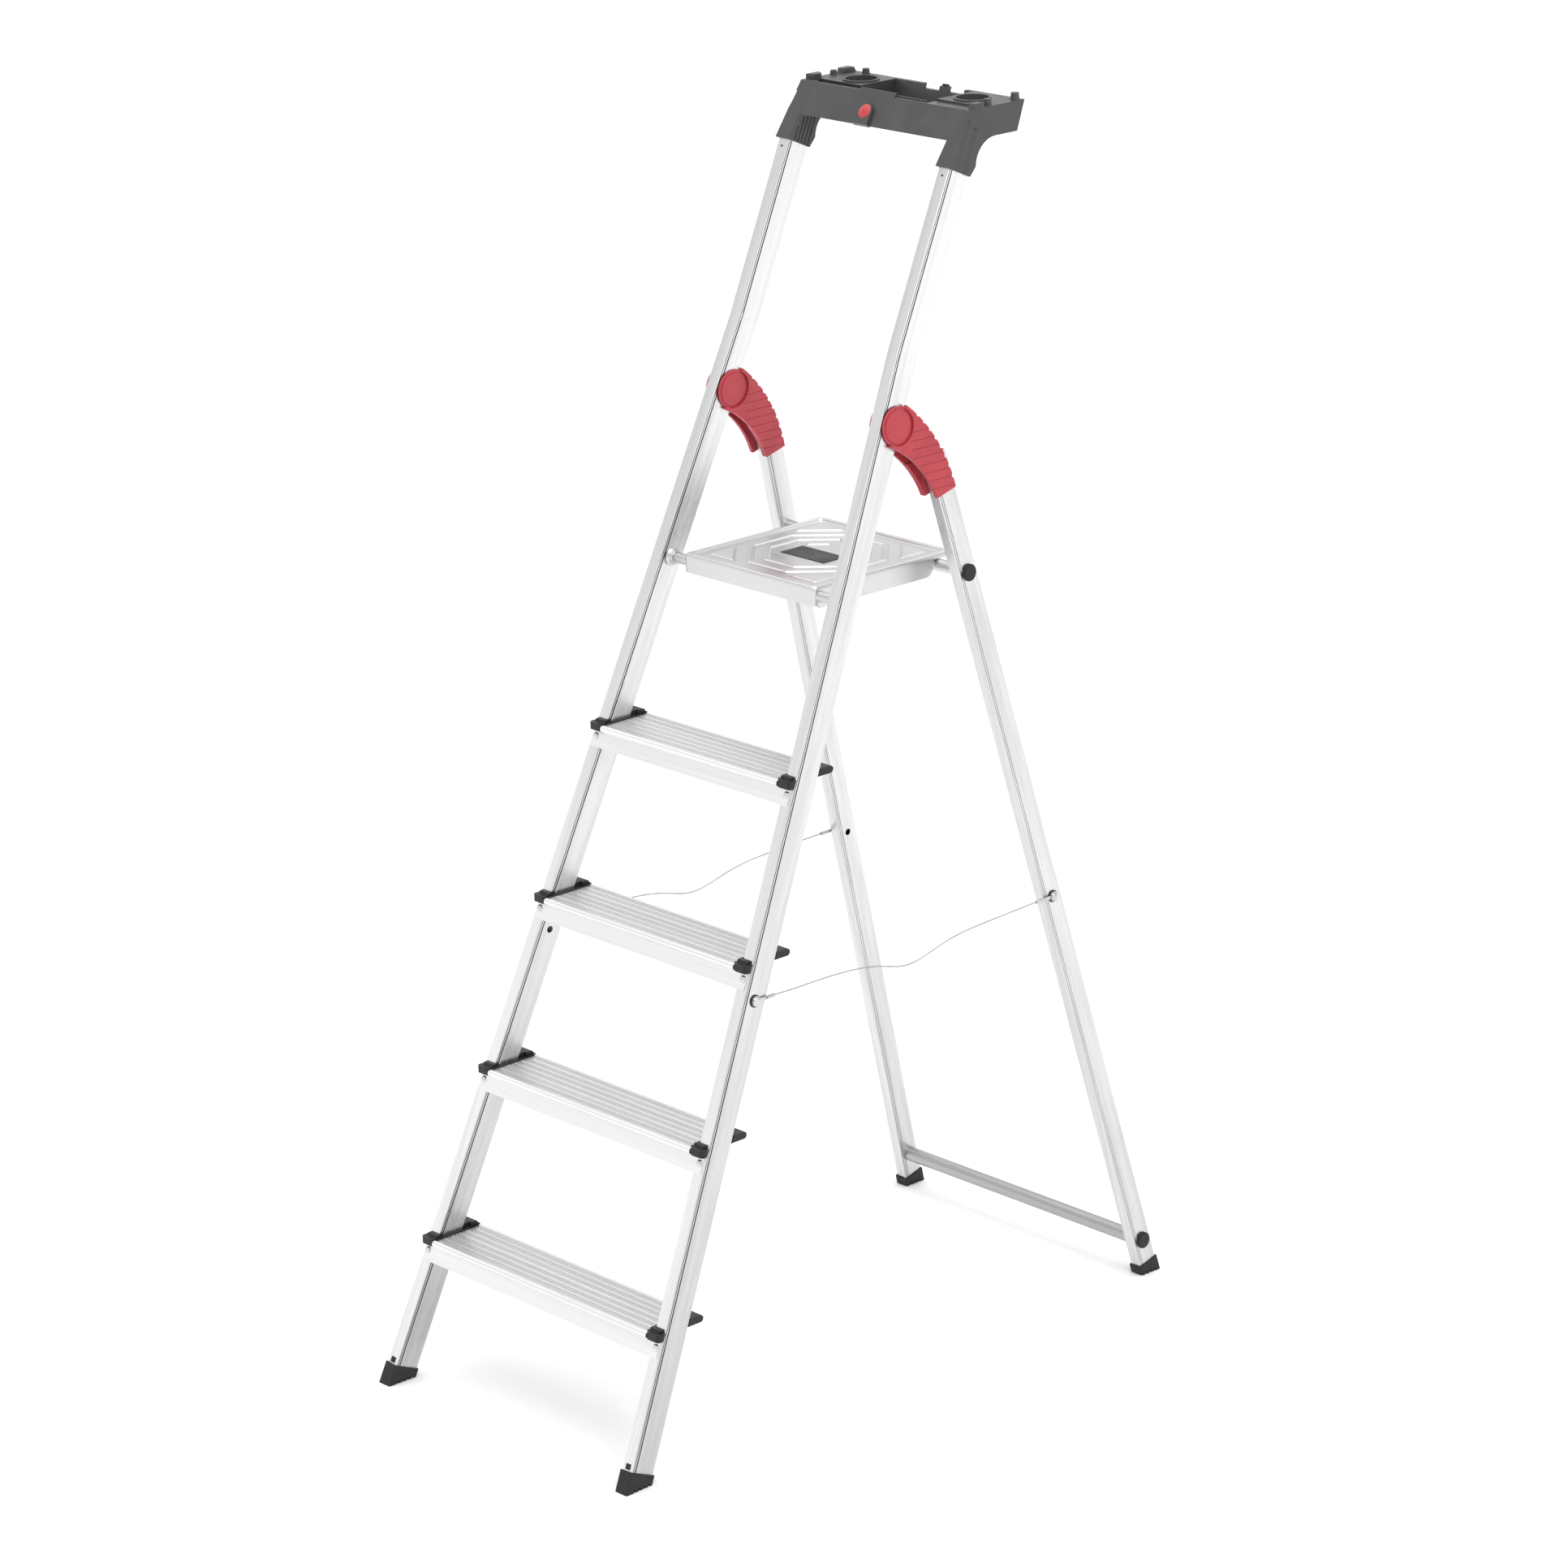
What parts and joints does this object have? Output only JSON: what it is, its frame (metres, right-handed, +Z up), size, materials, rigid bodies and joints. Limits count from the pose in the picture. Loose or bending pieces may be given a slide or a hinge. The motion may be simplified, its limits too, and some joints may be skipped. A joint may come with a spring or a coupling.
{
  "type": "folding step ladder",
  "caption": "Folding aluminium step ladder with flat ribbed treads, a tilting platform, red hinges, rope stays and a tool tray on top.",
  "frame": {"origin": "on the floor, below the centre of the opened ladder's bounding box", "axes": "+Z up; X across the ladder; the climbing side faces -Y and the rear legs stand towards +Y"},
  "size_m": [0.4746, 0.9565, 1.5923],
  "materials": {
    "stile": "extruded, satin, fine lengthwise grain",
    "tread": "extruded, satin, fine grooves",
    "platform": "pressed sheet, satin",
    "bar": "drawn tube, satin",
    "rivet": "domed, bright",
    "bolt": "zinc plated",
    "rope": "thin stranded rope",
    "black_plastic": "moulded, fine grain",
    "tray_plastic": "moulded, fine grain",
    "foot_rubber": "moulded, matt",
    "red_plastic": "moulded, slightly glossy",
    "badge": "domed, glossy"
  },
  "bodies": {
    "front_frame": {"stile_left": "stile", "stile_right": "stile", "tread_1": "tread", "tread_2": "tread", "tread_3": "tread", "tread_4": "tread", "tread_caps": "black_plastic", "tread_rivets": "rivet", "front_feet": "foot_rubber", "front_rod": "bar", "rod_collars": "bar", "tool_tray": "tray_plastic", "tray_badge": "badge", "tray_pins": "black_plastic", "hinge_pins": "rivet", "rope_bolts_front": "bolt", "rope_washers_front": "black_plastic", "rope_lugs_front": "bolt", "rope_left": "rope", "rope_right": "rope"},
    "rear_frame": {"leg_left": "stile", "leg_right": "stile", "hinge_outer_left": "red_plastic", "hinge_outer_right": "red_plastic", "hinge_inner_left": "red_plastic", "hinge_inner_right": "red_plastic", "hinge_rivets": "rivet", "rear_rod": "bar", "rear_rod_caps": "black_plastic", "cross_tube": "bar", "cross_tube_caps": "black_plastic", "rear_feet": "foot_rubber", "rope_bolts_rear": "bolt", "rope_washers_rear": "black_plastic", "rope_lugs_rear": "bolt"},
    "platform": {"platform_plate": "platform", "platform_label": "black_plastic"}
  },
  "joints": [
    {"name": "rear_fold", "type": "hinge", "parent": "front_frame", "child": "rear_frame", "pos_m": [0, 0.082, 1.214], "axis": [-1, 0, 0], "range_deg": [0, 37.5], "deforming": ["rope_left", "rope_right"]},
    {"name": "platform_tilt", "type": "hinge", "parent": "front_frame", "child": "platform", "pos_m": [0, -0.01507, 1.012], "axis": [1, 0, 0], "range_deg": [0, 66]}
  ],
  "couplings": [
    {"joint": "platform_tilt", "follows": "rear_fold", "ratio": 1.75}
  ]
}
